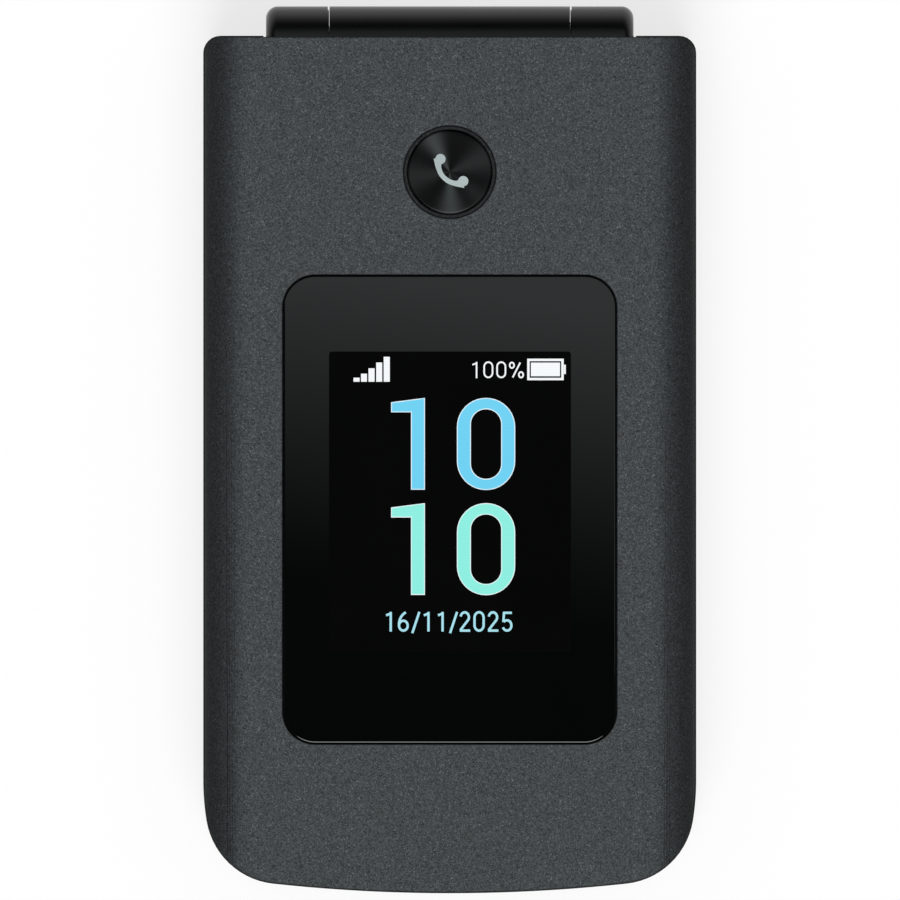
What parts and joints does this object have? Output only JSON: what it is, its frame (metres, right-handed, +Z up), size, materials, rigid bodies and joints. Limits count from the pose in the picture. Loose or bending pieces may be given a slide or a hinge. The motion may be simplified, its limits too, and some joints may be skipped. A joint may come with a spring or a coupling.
{
  "type": "flip phone",
  "caption": "Closed clamshell phone: a painted lid with an outer window and a round call button, hinged to a base that holds a keypad and battery.",
  "frame": {"origin": "below the middle of the closed phone, on the surface that its back rests on", "axes": "+Y towards the hinge end, +X across the width to the right seen from above, +Z up through the lid"},
  "size_m": [0.0574, 0.1032, 0.0188],
  "materials": {
    "cover_paint": "dark grey paint with fine metallic flakes, satin",
    "door_paint": "dark grey paint with fine metallic flakes, satin",
    "frame_plastic": "near-black satin moulding",
    "outer_window": "clear acrylic printed black behind, polished",
    "main_window": "clear acrylic printed black behind, polished",
    "display_glass": "dark display glass in a thin metal frame",
    "circuit_board": "green solder mask",
    "ring_metal": "dark grey satin ring",
    "button_black": "black disc with a turned finish",
    "component_black": "moulded black",
    "mesh_steel": "fine woven mesh",
    "rubber_black": "soft black rubber",
    "rubber_grey": "grey silicone sheet",
    "screw_steel": "dark zinc plated",
    "bright_steel": "bright turned or pressed steel",
    "spring_steel": "drawn spring wire",
    "flex_film": "amber polyimide film",
    "battery_can": "can wrapped in dark grey film",
    "sim_plastic": "white card with gold contacts",
    "lens_window": "clear lens window, black border",
    "key_plastic": "black satin keycap",
    "ring_silver": "silver satin ring"
  },
  "bodies": {
    "base": {"front_housing": "frame_plastic", "rear_housing": "frame_plastic", "main_board": "circuit_board", "key_mat": "rubber_grey", "dome_sheet": "flex_film", "battery": "battery_can", "battery_contacts": "component_black", "sim_card": "sim_plastic", "sim_holder": "bright_steel", "camera_module": "component_black", "camera_window": "lens_window", "loudspeaker": "component_black", "speaker_mesh": "mesh_steel", "vibration_motor": "bright_steel", "usb_socket": "bright_steel", "audio_socket": "component_black", "hinge_shaft": "bright_steel", "pivot_bush": "bright_steel", "ear_caps": "frame_plastic", "base_screws": "screw_steel", "base_flex": "flex_film"},
    "lid": {"lid_cover": "cover_paint", "lid_frame": "frame_plastic", "outer_window": "outer_window", "outer_display": "display_glass", "main_window": "main_window", "main_display": "display_glass", "lid_board": "circuit_board", "call_button_ring": "ring_metal", "earpiece": "component_black", "earpiece_mesh": "mesh_steel", "lid_bumpers": "rubber_black", "lid_screws": "screw_steel", "lid_magnet": "bright_steel", "hinge_housing": "bright_steel", "hinge_follower": "bright_steel", "hinge_spring": "spring_steel", "lid_flex": "flex_film"},
    "call_button": {"call_button": "button_black"},
    "battery_door": {"battery_door": "door_paint"},
    "volume_rocker": {"volume_rocker": "key_plastic"},
    "navigation_ring": {"navigation_ring": "ring_silver"},
    "key_1": {"key_1": "key_plastic"},
    "key_2": {"key_2": "key_plastic"},
    "key_3": {"key_3": "key_plastic"},
    "key_4": {"key_4": "key_plastic"},
    "key_5": {"key_5": "key_plastic"},
    "key_6": {"key_6": "key_plastic"},
    "key_7": {"key_7": "key_plastic"},
    "key_8": {"key_8": "key_plastic"},
    "key_9": {"key_9": "key_plastic"},
    "key_star": {"key_star": "key_plastic"},
    "key_0": {"key_0": "key_plastic"},
    "key_hash": {"key_hash": "key_plastic"},
    "ok_key": {"ok_key": "key_plastic"},
    "soft_key_left": {"soft_key_left": "key_plastic"},
    "soft_key_right": {"soft_key_right": "key_plastic"},
    "call_key": {"call_key": "key_plastic"},
    "end_key": {"end_key": "key_plastic"}
  },
  "joints": [
    {"name": "lid_hinge", "type": "hinge", "parent": "base", "child": "lid", "pos_m": [0, 0.04785, 0.01085], "axis": [-1, 0, 0], "range_deg": [0, 160]},
    {"name": "call_button_press", "type": "slide", "parent": "lid", "child": "call_button", "axis": [0, 0, -1], "range_m": [0, 0.00025], "stiffness_N_per_m": 300, "springref_m": -0.0005},
    {"name": "battery_door_slide", "type": "slide", "parent": "base", "child": "battery_door", "axis": [0, -1, 0], "range_m": [0, 0.008]},
    {"name": "volume_rocker_tilt", "type": "hinge", "parent": "base", "child": "volume_rocker", "pos_m": [-0.02695, 0.016, 0.0074], "axis": [0, 0, 1], "range_deg": [-1.2, 1.2], "stiffness_Nm_per_rad": 0.05},
    {"name": "navigation_ring_tilt", "type": "hinge", "parent": "base", "child": "navigation_ring", "pos_m": [0, 0.024, 0.009], "axis": [1, 0, 0], "range_deg": [-1.2, 1.2], "stiffness_Nm_per_rad": 0.05},
    {"name": "key_1_press", "type": "slide", "parent": "base", "child": "key_1", "axis": [0, 0, -1], "range_m": [0, 0.00025], "stiffness_N_per_m": 300, "springref_m": -0.0005},
    {"name": "key_2_press", "type": "slide", "parent": "base", "child": "key_2", "axis": [0, 0, -1], "range_m": [0, 0.00025], "stiffness_N_per_m": 300, "springref_m": -0.0005},
    {"name": "key_3_press", "type": "slide", "parent": "base", "child": "key_3", "axis": [0, 0, -1], "range_m": [0, 0.00025], "stiffness_N_per_m": 300, "springref_m": -0.0005},
    {"name": "key_4_press", "type": "slide", "parent": "base", "child": "key_4", "axis": [0, 0, -1], "range_m": [0, 0.00025], "stiffness_N_per_m": 300, "springref_m": -0.0005},
    {"name": "key_5_press", "type": "slide", "parent": "base", "child": "key_5", "axis": [0, 0, -1], "range_m": [0, 0.00025], "stiffness_N_per_m": 300, "springref_m": -0.0005},
    {"name": "key_6_press", "type": "slide", "parent": "base", "child": "key_6", "axis": [0, 0, -1], "range_m": [0, 0.00025], "stiffness_N_per_m": 300, "springref_m": -0.0005},
    {"name": "key_7_press", "type": "slide", "parent": "base", "child": "key_7", "axis": [0, 0, -1], "range_m": [0, 0.00025], "stiffness_N_per_m": 300, "springref_m": -0.0005},
    {"name": "key_8_press", "type": "slide", "parent": "base", "child": "key_8", "axis": [0, 0, -1], "range_m": [0, 0.00025], "stiffness_N_per_m": 300, "springref_m": -0.0005},
    {"name": "key_9_press", "type": "slide", "parent": "base", "child": "key_9", "axis": [0, 0, -1], "range_m": [0, 0.00025], "stiffness_N_per_m": 300, "springref_m": -0.0005},
    {"name": "key_star_press", "type": "slide", "parent": "base", "child": "key_star", "axis": [0, 0, -1], "range_m": [0, 0.00025], "stiffness_N_per_m": 300, "springref_m": -0.0005},
    {"name": "key_0_press", "type": "slide", "parent": "base", "child": "key_0", "axis": [0, 0, -1], "range_m": [0, 0.00025], "stiffness_N_per_m": 300, "springref_m": -0.0005},
    {"name": "key_hash_press", "type": "slide", "parent": "base", "child": "key_hash", "axis": [0, 0, -1], "range_m": [0, 0.00025], "stiffness_N_per_m": 300, "springref_m": -0.0005},
    {"name": "ok_key_press", "type": "slide", "parent": "base", "child": "ok_key", "axis": [0, 0, -1], "range_m": [0, 0.00025], "stiffness_N_per_m": 300, "springref_m": -0.0005},
    {"name": "soft_key_left_press", "type": "slide", "parent": "base", "child": "soft_key_left", "axis": [0, 0, -1], "range_m": [0, 0.00025], "stiffness_N_per_m": 300, "springref_m": -0.0005},
    {"name": "soft_key_right_press", "type": "slide", "parent": "base", "child": "soft_key_right", "axis": [0, 0, -1], "range_m": [0, 0.00025], "stiffness_N_per_m": 300, "springref_m": -0.0005},
    {"name": "call_key_press", "type": "slide", "parent": "base", "child": "call_key", "axis": [0, 0, -1], "range_m": [0, 0.00025], "stiffness_N_per_m": 300, "springref_m": -0.0005},
    {"name": "end_key_press", "type": "slide", "parent": "base", "child": "end_key", "axis": [0, 0, -1], "range_m": [0, 0.00025], "stiffness_N_per_m": 300, "springref_m": -0.0005}
  ]
}
